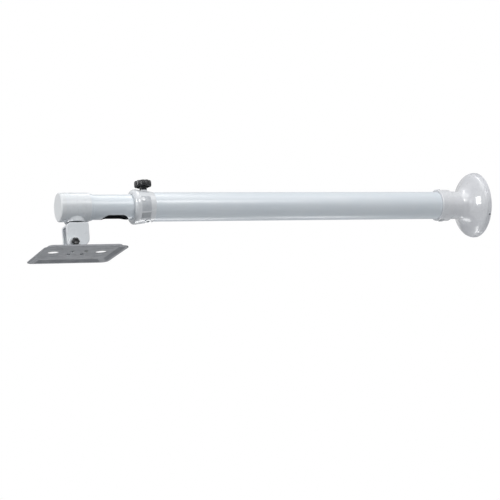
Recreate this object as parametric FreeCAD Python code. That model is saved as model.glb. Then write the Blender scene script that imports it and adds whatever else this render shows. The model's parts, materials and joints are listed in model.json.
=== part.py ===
import FreeCAD, Part
import math
import os

# Projector mount: a telescopic wall arm that ends in a pan and tilt head, in millimetres.
# The wall face is X = 0, the arm reaches along -X, +Z is up and the viewer stands at -Y.

Vector = FreeCAD.Vector

# Wall plate
wall_plate_thickness = 8.0
wall_bolt_circle = 120.0
wall_bolt_hole = 9.0
wall_bolt_count = 4
cable_hole_radius = 27.0

# Bell flange
bell_radius = 96.5
rim_step_depth = 4.5
rim_step_height = 1.4
flare_length = 51.0
bell_shoulder = 16.0
bell_throat = 30.0
bell_wall = 4.0
skirt_wall = 8.85
plate_ledge = 4.0
neck_radius = 41.0
neck_wall = 5.5
neck_length = 29.0
socket_length = 39.5
socket_radius = 46.0
socket_edge = 2.5
tube_stop = 2.0

# Screws of the wall end
rim_screw_radius = 2.5
rim_screw_count = 3
rim_screw_bite = 4.0
tube_screw_radius = 4.0
tube_screw_inset = 11.5
tube_screw_boss_radius = 8.5
tube_screw_boss_height = 1.4

# Outer tube
outer_tube_radius = 40.0
outer_tube_wall = 2.5
outer_tube_length = 980.0

# Clamp collar
collar_lip_radius = 47.8
collar_nose_radius = 40.0
collar_nose_length = 10.0
collar_lip_width = 5.0
collar_grip_length = 50.0
collar_rear_radius = 41.8
collar_edge = 1.2
collar_nose_lip = 2.5
panel_depth = 0.8
panel_margin = 1.0
panel_end_margin = 3.0
panel_half_angle = 29.0
panel_rib_angle = 3.0
lower_panel_angle = 24.0
plug_radius = 5.5
plug_height = 1.2
plug_overhang = 1.0
plug_lift_angle = 13.0
bush_wall = 2.3
nose_gap = 0.6

# Clamp knob, its stud and its seat in the collar
clamp_setback = 29.5
clamp_boss_radius = 10.5
clamp_boss_top = 46.3
insert_radius = 8.0
clamp_stud_radius = 5.0
clamp_pad_height = 4.4
clamp_knob_radius = 24.0
clamp_knob_height = 16.5
clamp_hub_radius = 10.0
clamp_hub_height = 9.5
clamp_knob_lobes = 10
clamp_knob_gap = 0.4
knob_stud_depth = 11.0

# Collar screws
collar_screw_radius = 3.0
collar_screw_head_radius = 5.0
collar_screw_head_height = 3.2
collar_screw_boss_radius = 8.0
collar_screw_boss_height = 2.2
collar_screw_setback = 30.0
collar_screw_lean = 18.0
collar_screw_spread = 100.0

# Inner tube
inner_tube_radius = 34.0
inner_tube_wall = 2.0
inner_tube_overlap = 368.0
inner_tube_shown = 113.5
slot_length = 76.0
slot_width = 42.0
slot_inset = 12.0
grommet_wall = 1.8
grommet_flange = 3.0
glide_length = 6.0
glide_spigot = 14.0
glide_wall = 2.4
stop_ring_width = 8.0
stop_ring_wall = 2.4
notch_room = 1.0

# Head sleeve and end cap
sleeve_radius = 39.5
sleeve_length = 69.5
sleeve_edge = 2.0
sleeve_blend = 2.0
end_cap_length = 14.0
end_cap_edge = 4.5
end_cap_spigot = 8.0
end_cap_spigot_wall = 3.0
cap_bore_step = 2.4
cap_shadow_gap = 0.5
cap_shadow_depth = 0.5
pan_setback = 29.5
boss_radius = 27.0
boss_bottom = 42.5
roll_screw_radius = 3.0
roll_screw_inset = 9.0
roll_range = 10.0

# Pan joint
pan_bolt_radius = 6.0
pan_head_flats = 19.0
pan_head_height = 8.0
pan_washer_radius = 12.0
pan_washer_thickness = 2.0
pan_nut_height = 10.0
pan_thread_shown = 2.0
nut_collar_height = 2.8
nut_collar_step = 0.8
friction_washer_radius = 19.0
friction_washer_thickness = 3.5
spot_face_depth = 1.4

# Yoke
yoke_width = 61.0
yoke_depth = 50.0
cheek_thickness = 12.0
bridge_thickness = 10.0
pivot_drop = 40.0
cheek_below_pivot = 23.0
cheek_front_corner = 11.0
cheek_rear_corner = 20.0
yoke_edge = 2.5
yoke_front_shoulder = 12.0
yoke_rear_shoulder = 4.0
front_skin = 2.0

# Tilt joint
tilt_bolt_radius = 5.0
tilt_head_flats = 16.0
tilt_head_height = 6.4
tilt_washer_radius = 10.0
tilt_washer_thickness = 2.0
tilt_disc_radius = 14.0
tilt_disc_thickness = 2.0

# Foot
foot_radius = 38.0
foot_base_thickness = 6.5
foot_below_pivot = 35.0
foot_edge = 3.0
tongue_radius = 14.0
tongue_base_half = 20.0
lug_radius = 16.0
lug_base_half = 25.0
lug_gap = 1.5
lug_thickness = 11.5
lug_edge = 2.0

# Lock knob
lock_offset = 16.0
lock_drop = 17.0
lock_stud_radius = 3.0
lock_pad_radius = 3.6
lock_pad_length = 2.4
lock_pad_pocket = 4.0
lock_knob_radius = 10.5
lock_knob_height = 10.0
lock_hub_radius = 5.5
lock_hub_height = 2.5
lock_knob_lobes = 6
lock_knob_gap = 0.4
lock_stud_grip = 7.0

# Adapter plate
plate_length = 200.0
plate_width = 180.0
plate_corner = 14.0
plate_thickness = 2.5
plate_wall = 3.0
plate_drop = 9.5
plate_slope = 8.0
plate_flange = 6.0
projector_slot_spacing_x = 140.0
projector_slot_spacing_y = 96.0
projector_slot_width = 4.5
projector_slot_length = 34.0
plate_screw_circle = 54.0
plate_screw_count = 4
plate_screw_radius = 2.5
plate_screw_head_radius = 4.6
plate_screw_head_height = 2.8
plate_screw_bite = 5.5
lightening_hole_radius = 16.0
lightening_hole_offset = 66.0

# Clearances
running_fit = 0.1
thread_fit = 0.05
slip_fit = 0.15
cut_margin = 5.0

# Stations along the arm, worked out from the wall
rim_depth = 3 * rim_step_depth
flare_radius = bell_radius - 3 * rim_step_height
neck_x = -(rim_depth + flare_length)
socket_rear_x = neck_x - neck_length
socket_front_x = socket_rear_x - socket_length
tube_seat_x = socket_rear_x - tube_stop
tube_screw_x = socket_front_x + tube_screw_inset
outer_tube_front_x = tube_seat_x - outer_tube_length
collar_front_x = outer_tube_front_x - collar_nose_length
collar_rear_x = outer_tube_front_x + collar_grip_length
collar_screw_x = outer_tube_front_x + collar_screw_setback
clamp_x = outer_tube_front_x + clamp_setback
stop_ring_x = collar_front_x - inner_tube_shown
sleeve_rear_x = stop_ring_x - stop_ring_width
sleeve_front_x = sleeve_rear_x - sleeve_length
roll_screw_x = sleeve_rear_x - roll_screw_inset
cap_front_x = sleeve_front_x - end_cap_length
inner_tube_front_x = sleeve_front_x + end_cap_spigot + cut_margin / 2
inner_tube_rear_x = outer_tube_front_x + inner_tube_overlap
pan_x = sleeve_front_x + pan_setback

# Heights of the head, worked out from the arm's axis
yoke_top_z = -(boss_bottom + friction_washer_thickness)
bridge_bottom_z = yoke_top_z - bridge_thickness
pivot_z = yoke_top_z - pivot_drop
yoke_bottom_z = pivot_z - cheek_below_pivot
foot_bottom_z = pivot_z - foot_below_pivot
foot_top_z = foot_bottom_z + foot_base_thickness
lock_x = pan_x - lock_offset
lock_z = pivot_z - lock_drop
cheek_face_y = yoke_depth / 2
cheek_inner_y = cheek_face_y - cheek_thickness
plate_under_z = foot_bottom_z - plate_thickness
plate_bottom_z = foot_bottom_z - plate_drop

# Radii of the wall end and of the tube fits
plate_pocket_radius = bell_radius - skirt_wall
wall_plate_radius = plate_pocket_radius - slip_fit
outer_tube_bore = outer_tube_radius - outer_tube_wall
inner_tube_bore = inner_tube_radius - inner_tube_wall
neck_bore = neck_radius - neck_wall
socket_bore = outer_tube_radius + slip_fit
sleeve_bore = inner_tube_radius + running_fit
bush_bore = inner_tube_radius + running_fit
bush_radius = bush_bore + bush_wall


# A closed outline in the XZ plane: one point makes a line, three make a smooth curve.
def outline(start, steps):
    edges = []
    here = Vector(start[0], 0, start[1])
    for step in steps + [[start]]:
        poles = [here] + [Vector(a, 0, b) for a, b in step]
        if poles[0].distanceToPoint(poles[-1]) < 1e-7:
            continue
        if len(poles) == 2:
            edges.append(Part.makeLine(poles[0], poles[1]))
        else:
            curve = Part.BezierCurve()
            curve.setPoles(poles)
            edges.append(curve.toShape())
        here = poles[-1]
    return Part.Face(Part.Wire(edges))


# The two middle points and the end of a soft double bend, from a rim's shoulder to a neck.
def ogee(start, end, shoulder, throat):
    return [(start[0] - shoulder, start[1] - shoulder / 3), (end[0] + throat, end[1]), end]


# The two middle points and the end of a quarter bend that leaves along one axis and ends along the other.
def quarter(start, end, along_first):
    share = 0.5523
    (a0, b0), (a1, b1) = start, end
    if along_first:
        return [(a0 + share * (a1 - a0), b0), (a1, b1 - share * (b1 - b0)), end]
    return [(a0, b0 + share * (b1 - b0)), (a1 - share * (a1 - a0), b1), end]


def turned_on_x(start, steps, sweep=360):
    return outline(start, steps).revolve(Vector(0, 0, 0), Vector(1, 0, 0), sweep)


def turned_on_z(start, steps):
    return outline(start, steps).revolve(Vector(0, 0, 0), Vector(0, 0, 1), 360)


def cylinder_x(radius, x0, x1):
    low = min(x0, x1)
    return Part.makeCylinder(radius, abs(x1 - x0), Vector(low, 0, 0), Vector(1, 0, 0))


def cylinder_y(radius, y0, y1, x, z):
    low = min(y0, y1)
    return Part.makeCylinder(radius, abs(y1 - y0), Vector(x, low, z), Vector(0, 1, 0))


def cylinder_z(radius, z0, z1, x=0.0, y=0.0):
    low = min(z0, z1)
    return Part.makeCylinder(radius, abs(z1 - z0), Vector(x, y, low), Vector(0, 0, 1))


def tube_x(outer, inner, x0, x1):
    return cylinder_x(outer, x0, x1).cut(cylinder_x(inner, x0 - cut_margin, x1 + cut_margin))


def washer_z(outer, inner, z0, z1, x=0.0, y=0.0):
    hole = cylinder_z(inner, min(z0, z1) - cut_margin, max(z0, z1) + cut_margin, x, y)
    return cylinder_z(outer, z0, z1, x, y).cut(hole)


def around_x(shape, degrees):
    copy = shape.copy()
    copy.rotate(Vector(0, 0, 0), Vector(1, 0, 0), degrees)
    return copy


def hexagon_z(flats, z0, z1):
    corner = flats / math.sqrt(3)
    points = []
    for index in range(7):
        angle = math.radians(60 * index)
        points.append(Vector(corner * math.cos(angle), corner * math.sin(angle), min(z0, z1)))
    return Part.Face(Part.makePolygon(points)).extrude(Vector(0, 0, abs(z1 - z0)))


# A hexagon with its corners turned off at one or both ends.
def hex_head(flats, z0, z1):
    low = min(z0, z1)
    high = max(z0, z1)
    corner = flats / math.sqrt(3)
    rise = corner - flats / 2
    steps = [[(flats / 2, low)], [(corner, low + rise / 2)], [(corner, high - rise / 2)]]
    barrel = turned_on_z((0, low), steps + [[(flats / 2, high)], [(0, high)]])
    return hexagon_z(flats, low, high).common(barrel)


# A socket set screw that points up, with its tip at z0.
def grub_screw(radius, z0, z1):
    tip = radius * 0.35
    steps = [[(radius - tip, z0)], [(radius, z0 + tip)], [(radius, z1)], [(0, z1)]]
    body = turned_on_z((0, z0), steps)
    return body.cut(hexagon_z(radius, z1 - radius, z1 + cut_margin))


# A socket head screw that points down from z_seat, with its head above.
def cap_screw(radius, head_radius, head_height, z_tip, z_seat):
    edge = head_height * 0.15
    top = z_seat + head_height
    steps = [[(radius, z_tip)], [(radius, z_seat)], [(head_radius, z_seat)], [(head_radius, top - edge)]]
    body = turned_on_z((0, z_tip), steps + [[(head_radius - edge, top)], [(0, top)]])
    return body.cut(hexagon_z(head_radius, top - head_height * 0.6, top + cut_margin))


# A lobed knob that stands on Z = 0 with its hub down and a blind stud hole.
def lobed_knob(radius, height, hub_radius, hub_height, lobes, stud_radius, stud_depth):
    top = hub_height + height
    crown = height * 0.28
    skirt = height * 0.22
    inner = radius * 0.72
    hollow = height * 0.3
    steps = [
        [(hub_radius, 0)],
        [(hub_radius, hub_height + hollow)],
        [(inner, hub_height + hollow)],
        [(inner, hub_height)],
        [(radius - skirt, hub_height)],
        quarter((radius - skirt, hub_height), (radius, hub_height + skirt), True),
        [(radius, top - crown)],
        quarter((radius, top - crown), (radius - crown, top), False),
        [(0, top)],
    ]
    knob = turned_on_z((0, 0), steps)
    scallop = radius * 0.27
    for index in range(lobes):
        angle = 2 * math.pi * (index + 0.5) / lobes
        reach = radius + scallop * 0.55
        x = reach * math.cos(angle)
        y = reach * math.sin(angle)
        knob = knob.cut(cylinder_z(scallop, hub_height - cut_margin, top + cut_margin, x, y))
    return knob.cut(cylinder_z(stud_radius + thread_fit, -cut_margin, stud_depth))


# A bar with round ends, used for slots; it lies along X and runs from z0 to z1.
def slot_bar(length, width, z0, z1, x, y):
    half = length / 2 - width / 2
    bar = Part.makeBox(2 * half, width, abs(z1 - z0), Vector(x - half, y - width / 2, min(z0, z1)))
    bar = bar.fuse(cylinder_z(width / 2, z0, z1, x - half, y))
    return bar.fuse(cylinder_z(width / 2, z0, z1, x + half, y)).removeSplitter()


def rounded_rectangle(length, width, corner, z, x):
    a = length / 2
    b = width / 2
    k = corner * (1 - math.sqrt(0.5))
    edges = []
    for sx, sy in ((1, 1), (-1, 1), (-1, -1), (1, -1)):
        on_side = Vector(x + sx * a, sy * (b - corner), z)
        on_end = Vector(x + sx * (a - corner), sy * b, z)
        middle = Vector(x + sx * (a - k), sy * (b - k), z)
        first, last = (on_side, on_end) if sx * sy > 0 else (on_end, on_side)
        if edges:
            edges.append(Part.makeLine(edges[-1].lastVertex().Point, first))
        edges.append(Part.Arc(first, middle, last).toShape())
    edges.append(Part.makeLine(edges[-1].lastVertex().Point, edges[0].firstVertex().Point))
    return Part.Wire(edges)


def fillet_where(shape, radius, wanted):
    edges = [edge for edge in shape.Edges if wanted(edge)]
    return shape.makeFillet(radius, edges)


# Wall end

def rim_screw_angles():
    return [360.0 * index / rim_screw_count for index in range(rim_screw_count)]


def rim_screw_holes(z0, z1):
    x = -wall_plate_thickness / 2
    hole = cylinder_z(rim_screw_radius + thread_fit, z0, z1, x)
    return [around_x(hole, angle) for angle in rim_screw_angles()]


def make_wall_plate():
    plate = cylinder_x(wall_plate_radius, -wall_plate_thickness, 0)
    plate = plate.cut(cylinder_x(cable_hole_radius, -wall_plate_thickness - cut_margin, cut_margin))
    for index in range(wall_bolt_count):
        angle = math.radians(45 + 360.0 * index / wall_bolt_count)
        y = wall_bolt_circle / 2 * math.cos(angle)
        z = wall_bolt_circle / 2 * math.sin(angle)
        start = Vector(-wall_plate_thickness - cut_margin, y, z)
        length = wall_plate_thickness + 2 * cut_margin
        plate = plate.cut(Part.makeCylinder(wall_bolt_hole / 2, length, start, Vector(1, 0, 0)))
    for hole in rim_screw_holes(wall_plate_radius - rim_screw_bite, wall_plate_radius + cut_margin):
        plate = plate.cut(hole)
    return plate


def make_bell_flange():
    pocket = plate_pocket_radius
    ledge = wall_plate_radius - plate_ledge
    shoulder = socket_radius - socket_edge
    step = rim_step_height
    depth = rim_step_depth
    back = -wall_plate_thickness
    ledge_front = min(-rim_depth, back) - bell_wall
    inner_throat = (neck_x + bell_throat + bell_wall, neck_bore)
    inner_shoulder = (ledge_front - bell_shoulder + bell_wall, ledge - bell_wall)
    steps = [
        [(0, bell_radius - step / 2)],
        quarter((0, bell_radius - step / 2), (-step / 2, bell_radius), False),
        [(-depth, bell_radius)],
        [(-depth, bell_radius - step)],
        [(-2 * depth, bell_radius - step)],
        [(-2 * depth, bell_radius - 2 * step)],
        [(-rim_depth + step, bell_radius - 2 * step)],
        quarter((-rim_depth + step, bell_radius - 2 * step), (-rim_depth, flare_radius), True),
        ogee((-rim_depth, flare_radius), (neck_x, neck_radius), bell_shoulder, bell_throat),
        [(socket_rear_x + socket_edge, neck_radius)],
        quarter((socket_rear_x + socket_edge, neck_radius), (socket_rear_x, shoulder), True),
        quarter((socket_rear_x, shoulder), (socket_rear_x - socket_edge, socket_radius), False),
        [(socket_front_x + socket_edge, socket_radius)],
        quarter((socket_front_x + socket_edge, socket_radius), (socket_front_x, shoulder), True),
        [(socket_front_x, socket_bore)],
        [(tube_seat_x, socket_bore)],
        [(tube_seat_x, neck_bore)],
        [(neck_x, neck_bore)],
        [inner_throat, inner_shoulder, (ledge_front, ledge)],
        [(back, ledge)],
        [(back, pocket)],
        [(0, pocket)],
    ]
    bell = turned_on_x((0, pocket), steps)
    boss_top = socket_radius + tube_screw_boss_height
    bosses = cylinder_z(tube_screw_boss_radius, -boss_top, boss_top, tube_screw_x)
    bell = bell.fuse(bosses.cut(cylinder_x(socket_bore, socket_front_x - cut_margin, tube_seat_x)))
    for angle in (0, 180):
        hole = cylinder_z(tube_screw_radius + thread_fit, neck_bore, boss_top + cut_margin, tube_screw_x)
        bell = bell.cut(around_x(hole, angle))
    for hole in rim_screw_holes(ledge, bell_radius + cut_margin):
        bell = bell.cut(hole)
    return bell.removeSplitter()


def make_rim_screws():
    tip = wall_plate_radius - rim_screw_bite
    screw = grub_screw(rim_screw_radius, tip, bell_radius - rim_step_height)
    screw.translate(Vector(-wall_plate_thickness / 2, 0, 0))
    return [around_x(screw, angle) for angle in rim_screw_angles()]


def make_tube_screws():
    tip = outer_tube_radius + thread_fit
    screw = grub_screw(tube_screw_radius, tip, socket_radius + thread_fit)
    screw.translate(Vector(tube_screw_x, 0, 0))
    return [around_x(screw, angle) for angle in (0, 180)]


# Tubes

def make_outer_tube():
    tube = tube_x(outer_tube_radius, outer_tube_bore, outer_tube_front_x, tube_seat_x)
    top = outer_tube_radius + cut_margin
    for angle in collar_screw_angles():
        hole = cylinder_z(collar_screw_radius + slip_fit, 0, top, collar_screw_x)
        tube = tube.cut(around_x(hole, angle))
    return tube.cut(cylinder_z(clamp_stud_radius + slip_fit, 0, top, clamp_x))


def slot_centre_x():
    return collar_front_x - slot_inset - slot_length / 2


def slot_prism(grow):
    length = slot_length + 2 * grow
    width = slot_width + 2 * grow
    low = -inner_tube_radius - cut_margin
    return slot_bar(length, width, low, -inner_tube_radius / 3, slot_centre_x(), 0)


def make_inner_tube():
    tube = tube_x(inner_tube_radius, inner_tube_bore, inner_tube_front_x, inner_tube_rear_x)
    tube = tube.cut(slot_prism(0))
    swing = inner_tube_radius * math.sin(math.radians(roll_range))
    notch_half = pan_washer_radius + swing + notch_room
    notch_length = pan_x + notch_half - inner_tube_front_x
    corner = Vector(inner_tube_front_x - cut_margin, -notch_half, -inner_tube_radius - cut_margin)
    notch = Part.makeBox(notch_length + cut_margin - notch_half, 2 * notch_half, inner_tube_radius, corner)
    round_end = cylinder_z(notch_half, -inner_tube_radius - cut_margin, -cut_margin, pan_x)
    return tube.cut(notch.fuse(round_end))


# The liner that keeps cables off the slot's edge: a lip in the slot and a flange behind the wall.
def make_slot_grommet():
    x0 = slot_centre_x() - slot_length
    x1 = slot_centre_x() + slot_length
    lip = tube_x(inner_tube_radius - slip_fit, inner_tube_bore - grommet_wall, x0, x1)
    lip = lip.common(slot_prism(-thread_fit))
    flange = tube_x(inner_tube_bore - thread_fit, inner_tube_bore - grommet_wall, x0, x1)
    flange = flange.common(slot_prism(grommet_flange))
    return lip.fuse(flange).cut(slot_prism(-grommet_wall)).removeSplitter()


def make_glide_ring():
    spigot = inner_tube_bore - thread_fit
    flange = outer_tube_bore - running_fit
    front = inner_tube_rear_x - glide_spigot
    back = inner_tube_rear_x + glide_length
    edge = glide_wall / 3
    bore = spigot - glide_wall
    steps = [
        [(front, spigot - edge)],
        [(front + edge, spigot)],
        [(inner_tube_rear_x, spigot)],
        [(inner_tube_rear_x, flange)],
        [(back - edge, flange)],
        [(back, flange - edge)],
        [(back, bore)],
    ]
    return turned_on_x((front, bore), steps)


def make_stop_ring():
    outer = inner_tube_radius + stop_ring_wall
    bore = inner_tube_radius + thread_fit
    edge = stop_ring_wall / 3
    steps = [
        [(sleeve_rear_x, outer)],
        [(stop_ring_x - edge, outer)],
        quarter((stop_ring_x - edge, outer), (stop_ring_x, outer - edge), True),
        [(stop_ring_x, bore)],
    ]
    return turned_on_x((sleeve_rear_x, bore), steps)


# Clamp collar

def collar_screw_angles():
    first = 180.0 - collar_screw_lean
    return [first, first + collar_screw_spread]


def collar_skin_radius(x):
    front = collar_front_x + collar_nose_length + collar_lip_width
    share = (x - front) / (collar_rear_x - front)
    return collar_lip_radius + share * (collar_rear_radius - collar_lip_radius)


def panel_front_x():
    return collar_front_x + collar_nose_length + collar_lip_width + panel_margin


# A shallow panel cut in the collar's taper; it starts at top_angle above the front and sweeps downwards.
def collar_panel(top_angle, sweep):
    x0 = panel_front_x()
    x1 = collar_screw_x + collar_screw_boss_radius - panel_end_margin
    floor0 = collar_skin_radius(x0) - panel_depth
    floor1 = collar_skin_radius(x1) - panel_depth
    air = collar_lip_radius + cut_margin
    panel = turned_on_x((x0, floor0), [[(x1, floor1)], [(x1, air)], [(x0, air)]], sweep)
    return around_x(panel, 90 - top_angle)


def make_clamp_collar():
    lip_x = collar_front_x + collar_nose_length - collar_lip_width / 2
    skin_x = lip_x + collar_lip_width
    bore = inner_tube_radius + nose_gap
    bush_seat = bush_radius + thread_fit
    nose = (collar_front_x, collar_nose_radius)
    lip = (lip_x, collar_lip_radius)
    tail = (collar_rear_x - collar_edge, collar_skin_radius(collar_rear_x - collar_edge))
    steps = [
        [nose],
        quarter(nose, lip, False),
        [(skin_x, collar_lip_radius)],
        [(skin_x + collar_edge, collar_skin_radius(skin_x + collar_edge) - collar_edge / 2)],
        [(tail[0], tail[1] - collar_edge / 2)],
        [(collar_rear_x, tail[1] - collar_edge)],
        [(collar_rear_x, socket_bore)],
        [(outer_tube_front_x, socket_bore)],
        [(outer_tube_front_x, bush_seat)],
        [(collar_front_x + collar_nose_lip, bush_seat)],
        [(collar_front_x + collar_nose_lip, bore)],
        [(collar_front_x, bore)],
    ]
    collar = turned_on_x((collar_front_x, bore), steps)
    core = cylinder_x(socket_bore, collar_front_x - cut_margin, collar_rear_x + cut_margin)
    boss = cylinder_z(clamp_boss_radius, 0, clamp_boss_top, clamp_x)
    collar = collar.fuse(boss.cut(core))
    seat_radius = collar_skin_radius(collar_screw_x) + collar_screw_boss_height
    for angle in collar_screw_angles():
        boss = cylinder_z(collar_screw_boss_radius, 0, seat_radius, collar_screw_x)
        collar = collar.fuse(around_x(boss.cut(core), angle))
    collar = collar.cut(collar_panel(panel_half_angle, 2 * panel_half_angle))
    lower_top = -panel_half_angle - panel_rib_angle
    collar = collar.cut(collar_panel(lower_top, lower_panel_angle))
    pocket_floor = seat_radius - collar_screw_head_height - thread_fit
    for angle in collar_screw_angles():
        hole = cylinder_z(collar_screw_radius + slip_fit, 0, seat_radius, collar_screw_x)
        pocket_top = seat_radius + cut_margin
        pocket = cylinder_z(collar_screw_head_radius + slip_fit, pocket_floor, pocket_top, collar_screw_x)
        collar = collar.cut(around_x(hole.fuse(pocket), angle))
    insert_top = clamp_boss_top + cut_margin
    collar = collar.cut(cylinder_z(insert_radius + thread_fit, inner_tube_radius, insert_top, clamp_x))
    plug_hole = cylinder_z(plug_radius - plug_overhang, 0, collar_lip_radius, plug_x())
    collar = collar.cut(around_x(plug_hole, 90 - plug_lift_angle))
    return collar.removeSplitter()


def plug_x():
    return panel_front_x() + plug_radius + slip_fit


def make_collar_bush():
    return tube_x(bush_radius, bush_bore, collar_front_x + collar_nose_lip, outer_tube_front_x)


def make_collar_screws():
    seat = collar_skin_radius(collar_screw_x) + collar_screw_boss_height
    head = collar_screw_head_radius
    height = collar_screw_head_height
    floor = seat - height - thread_fit
    screw = cap_screw(collar_screw_radius, head, height, outer_tube_bore + thread_fit, floor)
    screw.translate(Vector(collar_screw_x, 0, 0))
    return [around_x(screw, angle) for angle in collar_screw_angles()]


# A plain press-in plug with a slightly domed face, on the panel's floor.
def make_collar_plug():
    floor = collar_skin_radius(plug_x() - plug_radius) - panel_depth + thread_fit
    stem = plug_radius - plug_overhang - thread_fit
    top = floor + plug_height
    steps = [
        [(stem, socket_bore + slip_fit)],
        [(stem, floor)],
        [(plug_radius, floor)],
        [(plug_radius, top - plug_height / 2)],
        quarter((plug_radius, top - plug_height / 2), (0, top), False),
    ]
    plug = turned_on_z((0, socket_bore + slip_fit), steps)
    plug.translate(Vector(plug_x(), 0, 0))
    return around_x(plug, 90 - plug_lift_angle)


def clamp_pad_top():
    return inner_tube_radius + slip_fit + clamp_pad_height


def make_thread_insert():
    bore = clamp_stud_radius + thread_fit
    return washer_z(insert_radius, bore, outer_tube_radius + slip_fit, clamp_boss_top, clamp_x)


def make_pressure_pad():
    radius = clamp_stud_radius - thread_fit
    return cylinder_z(radius, inner_tube_radius + slip_fit, clamp_pad_top(), clamp_x)


def make_clamp_stud():
    top = clamp_boss_top + clamp_knob_gap + knob_stud_depth
    return cylinder_z(clamp_stud_radius, clamp_pad_top(), top, clamp_x)


def make_clamp_knob():
    knob = lobed_knob(
        clamp_knob_radius,
        clamp_knob_height,
        clamp_hub_radius,
        clamp_hub_height,
        clamp_knob_lobes,
        clamp_stud_radius,
        knob_stud_depth,
    )
    knob.translate(Vector(clamp_x, 0, clamp_boss_top + clamp_knob_gap))
    return knob


# Head

def spot_face_z():
    return -(sleeve_bore + spot_face_depth)


def make_head_sleeve():
    cap_bore = sleeve_bore + cap_bore_step
    counter_x = sleeve_front_x + end_cap_spigot + thread_fit
    shoulder = (sleeve_rear_x - sleeve_edge, sleeve_radius)
    steps = [
        [(sleeve_front_x, sleeve_radius)],
        [shoulder],
        quarter(shoulder, (sleeve_rear_x, sleeve_radius - sleeve_edge), True),
        [(sleeve_rear_x, 0)],
    ]
    body = turned_on_x((sleeve_front_x, 0), steps)
    boss = cylinder_z(boss_radius, -boss_bottom, -sleeve_radius / 2, pan_x)
    sleeve = fillet_where(body.fuse(boss), sleeve_blend, is_boss_joint)
    sleeve = sleeve.cut(cylinder_x(sleeve_bore, sleeve_front_x - cut_margin, sleeve_rear_x + cut_margin))
    sleeve = sleeve.cut(cylinder_x(cap_bore, sleeve_front_x - cut_margin, counter_x))
    washer_room = pan_washer_radius + slip_fit
    sleeve = sleeve.cut(cylinder_z(washer_room, spot_face_z(), 0, pan_x))
    sleeve = sleeve.cut(cylinder_z(pan_bolt_radius + slip_fit, -boss_bottom - cut_margin, 0, pan_x))
    for angle in roll_screw_angles():
        hole = cylinder_z(roll_screw_radius + thread_fit, 0, sleeve_radius + cut_margin, roll_screw_x)
        sleeve = sleeve.cut(around_x(hole, angle))
    return sleeve


# The curve where the boss leaves the sleeve's skin.
def is_boss_joint(edge):
    for share in (0.0, 0.5, 1.0):
        point = edge.valueAt(edge.FirstParameter + share * (edge.LastParameter - edge.FirstParameter))
        from_arm = math.hypot(point.y, point.z)
        from_pan = math.hypot(point.x - pan_x, point.y)
        if abs(from_arm - sleeve_radius) > 0.01 or abs(from_pan - boss_radius) > 0.01:
            return False
    return True


def roll_screw_angles():
    return [-45.0, -135.0]


def make_roll_screws():
    screw = grub_screw(roll_screw_radius, inner_tube_radius + slip_fit, sleeve_radius - thread_fit)
    screw.translate(Vector(roll_screw_x, 0, 0))
    return [around_x(screw, angle) for angle in roll_screw_angles()]


def make_end_cap():
    spigot = sleeve_bore + cap_bore_step - thread_fit
    inner = spigot - end_cap_spigot_wall
    spigot_x = sleeve_front_x + end_cap_spigot
    groove_x = sleeve_front_x - cap_shadow_gap
    groove_radius = sleeve_radius - cap_shadow_depth
    inside_x = cap_front_x + end_cap_spigot_wall
    shoulder = (cap_front_x + end_cap_edge, sleeve_radius)
    face = (cap_front_x, sleeve_radius - end_cap_edge)
    steps = [
        [(inside_x, inner)],
        [(spigot_x, inner)],
        [(spigot_x, spigot)],
        [(sleeve_front_x, spigot)],
        [(sleeve_front_x, groove_radius)],
        [(groove_x, groove_radius)],
        [(groove_x, sleeve_radius)],
        [shoulder],
        quarter(shoulder, face, True),
        [(cap_front_x, 0)],
    ]
    return turned_on_x((inside_x, 0), steps)


def make_pan_washer():
    hole = pan_bolt_radius + slip_fit
    floor = spot_face_z()
    return washer_z(pan_washer_radius, hole, floor, floor + pan_washer_thickness, pan_x)


def pan_nut_top_z():
    return bridge_bottom_z - pan_washer_thickness


def make_pan_bolt():
    seat = spot_face_z() + pan_washer_thickness
    tip = pan_nut_top_z() - pan_nut_height - pan_thread_shown
    bolt = hex_head(pan_head_flats, seat, seat + pan_head_height)
    bolt = bolt.fuse(cylinder_z(pan_bolt_radius, tip, seat))
    bolt.translate(Vector(pan_x, 0, 0))
    return bolt.removeSplitter()


def make_friction_washer():
    hole = pan_bolt_radius + slip_fit
    return washer_z(friction_washer_radius, hole, yoke_top_z, -boss_bottom, pan_x)


def make_under_washer():
    hole = pan_bolt_radius + slip_fit
    return washer_z(pan_washer_radius, hole, pan_nut_top_z(), bridge_bottom_z, pan_x)


# A self-locking nut: a hexagon with a round collar below it.
def make_pan_nut():
    top = pan_nut_top_z()
    low = top - pan_nut_height
    nut = hex_head(pan_head_flats, low + nut_collar_height, top)
    nut = nut.fuse(cylinder_z(pan_head_flats / 2 - nut_collar_step, low, top))
    nut = nut.cut(cylinder_z(pan_bolt_radius + thread_fit, low - cut_margin, top + cut_margin))
    nut.translate(Vector(pan_x, 0, 0))
    return nut.removeSplitter()


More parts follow.
